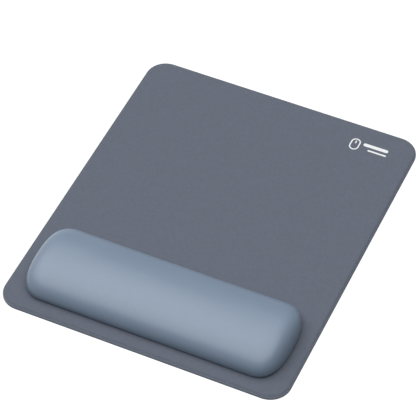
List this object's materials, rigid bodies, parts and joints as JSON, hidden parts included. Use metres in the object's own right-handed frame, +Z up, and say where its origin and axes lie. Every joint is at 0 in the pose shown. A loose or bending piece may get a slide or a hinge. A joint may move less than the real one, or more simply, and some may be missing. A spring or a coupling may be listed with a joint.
{
  "type": "mouse mat with gel wrist rest",
  "caption": "Fabric-topped mouse mat with a padded gel wrist rest fixed along its front edge.",
  "frame": {"origin": "centre of the mat's underside, on the desk", "axes": "+X to the user's right, +Y away from the user along the mat's long way, +Z up"},
  "size_m": [0.2094, 0.2514, 0.0215],
  "materials": {
    "grip_rubber": "matte, fine moulded grip pattern",
    "foam": "matte closed-cell foam rubber",
    "bond_film": "clear to milky adhesive film",
    "mat_fabric": "fine matte knit, blue-grey",
    "print_ink": "matte white screen print",
    "base_board": "plain moulded plastic",
    "support_foam": "firm open-cell foam",
    "pouch_film": "clear flexible film",
    "gel": "soft translucent gel",
    "cushion_leatherette": "smooth satin leatherette, light blue-grey"
  },
  "bodies": {
    "root": {"mat_grip_backing": "grip_rubber", "mat_foam_core": "foam", "mat_bond_film": "bond_film", "mat_top_fabric": "mat_fabric", "printed_mark": "print_ink", "cushion_bond_sheet": "bond_film", "cushion_base_board": "base_board", "cushion_support_foam": "support_foam", "gel_pouch_backing": "pouch_film", "gel_pad": "gel", "gel_pouch_skin": "pouch_film", "cushion_cover": "cushion_leatherette"}
  },
  "joints": []
}
